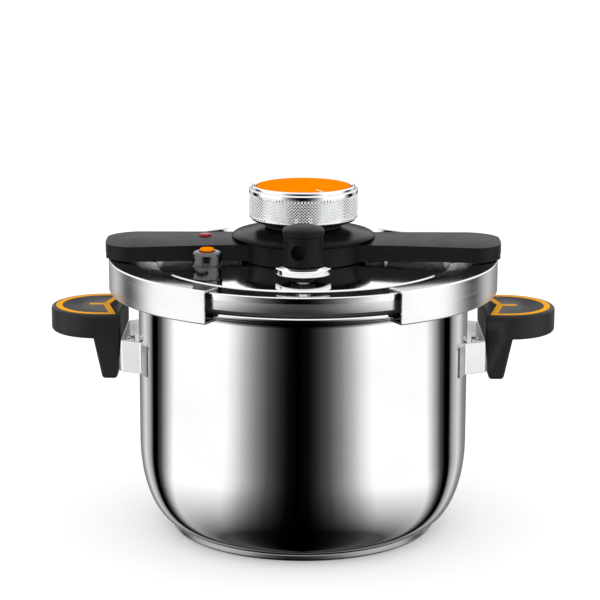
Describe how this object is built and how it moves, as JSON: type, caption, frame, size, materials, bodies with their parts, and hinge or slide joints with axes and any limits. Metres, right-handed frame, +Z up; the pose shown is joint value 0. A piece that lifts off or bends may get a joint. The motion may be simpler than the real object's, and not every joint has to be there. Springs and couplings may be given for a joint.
{
  "type": "pressure canner",
  "caption": "Pressure canner with a knob-driven two-jaw clamp lid, side handles, pressure regulator, safety valve and float valve.",
  "frame": {"origin": "centre of the underside of the base, on the surface that the canner stands on", "axes": "+X from the vessel's axis towards the right handle, +Y towards the back, +Z up; the regulator is at the front"},
  "size_m": [0.372, 0.274, 0.2555],
  "materials": {
    "polished_steel": "mirror-polished stainless steel",
    "plain_steel": "plain stainless steel",
    "chrome": "bright plate",
    "aluminium": "as rolled",
    "brass": "machined",
    "bakelite": "satin moulded phenolic",
    "orange_plastic": "satin",
    "orange_rubber": "soft inlay",
    "red_plastic": "gloss",
    "silicone": "matte moulded silicone"
  },
  "bodies": {
    "pot": {"vessel_shell": "polished_steel", "base_cap": "polished_steel", "base_core_disc": "aluminium", "handle_bracket_left": "polished_steel", "side_handle_left": "bakelite", "handle_inlay_left": "orange_rubber", "handle_screw_left_front": "plain_steel", "handle_screw_left_back": "plain_steel", "handle_bracket_right": "polished_steel", "side_handle_right": "bakelite", "handle_inlay_right": "orange_rubber", "handle_screw_right_front": "plain_steel", "handle_screw_right_back": "plain_steel"},
    "lid": {"lid_shell": "polished_steel", "sealing_gasket": "silicone", "bridge_beam": "bakelite", "hub_cover": "bakelite", "arm_rail_left": "plain_steel", "arm_rail_right": "plain_steel", "bridge_screw_1": "plain_steel", "bridge_screw_2": "plain_steel", "bridge_screw_3": "plain_steel", "bridge_screw_4": "plain_steel", "float_bush": "silicone", "shaft_bush_lower": "brass", "shaft_bush_upper": "brass", "vent_stem": "chrome", "vent_pad": "silicone", "vent_collar": "chrome", "vent_nut": "plain_steel", "vent_guard": "plain_steel", "safety_body": "chrome", "safety_nut": "plain_steel", "safety_spring": "plain_steel"},
    "knob": {"knob_ring": "chrome", "knob_core": "bakelite", "knob_bezel": "chrome", "knob_disc": "orange_plastic", "knob_pointer": "chrome", "knob_screw": "plain_steel", "knob_shaft": "plain_steel", "cam_disc": "plain_steel"},
    "left_jaw": {"jaw_left": "polished_steel", "slide_arm_left": "plain_steel", "cam_pin_left": "plain_steel", "jaw_rivet_left_front": "plain_steel", "jaw_rivet_left_back": "plain_steel"},
    "right_jaw": {"jaw_right": "polished_steel", "slide_arm_right": "plain_steel", "cam_pin_right": "plain_steel", "jaw_rivet_right_front": "plain_steel", "jaw_rivet_right_back": "plain_steel"},
    "regulator": {"regulator_weight": "bakelite", "regulator_cap": "bakelite"},
    "plunger": {"safety_plunger": "plain_steel", "safety_cap": "orange_plastic"},
    "float": {"float_pin": "plain_steel", "float_button": "red_plastic"}
  },
  "joints": [
    {"name": "lid_lift", "type": "slide", "parent": "pot", "child": "lid", "axis": [0, 0, 1], "range_m": [0, 0.15]},
    {"name": "knob_turn", "type": "hinge", "parent": "lid", "child": "knob", "pos_m": [0, 0, 0.2], "axis": [0, 0, 1], "range_deg": [0, 135]},
    {"name": "left_jaw_slide", "type": "slide", "parent": "lid", "child": "left_jaw", "axis": [-1, 0, 0], "range_m": [0, 0.014]},
    {"name": "right_jaw_slide", "type": "slide", "parent": "lid", "child": "right_jaw", "axis": [1, 0, 0], "range_m": [0, 0.014]},
    {"name": "regulator_lift", "type": "slide", "parent": "lid", "child": "regulator", "axis": [0, 0, 1], "range_m": [0, 0.03]},
    {"name": "safety_pop", "type": "slide", "parent": "lid", "child": "plunger", "axis": [0, 0, 1], "range_m": [0, 0.0025], "stiffness_N_per_m": 400, "springref_m": -0.002, "deforming": ["safety_spring"]},
    {"name": "float_rise", "type": "slide", "parent": "lid", "child": "float", "axis": [0, 0, 1], "range_m": [0, 0.004]}
  ],
  "couplings": [
    {"joint": "left_jaw_slide", "follows": "knob_turn", "m_per_rad": 0.0059418},
    {"joint": "right_jaw_slide", "follows": "knob_turn", "m_per_rad": 0.0059418}
  ]
}
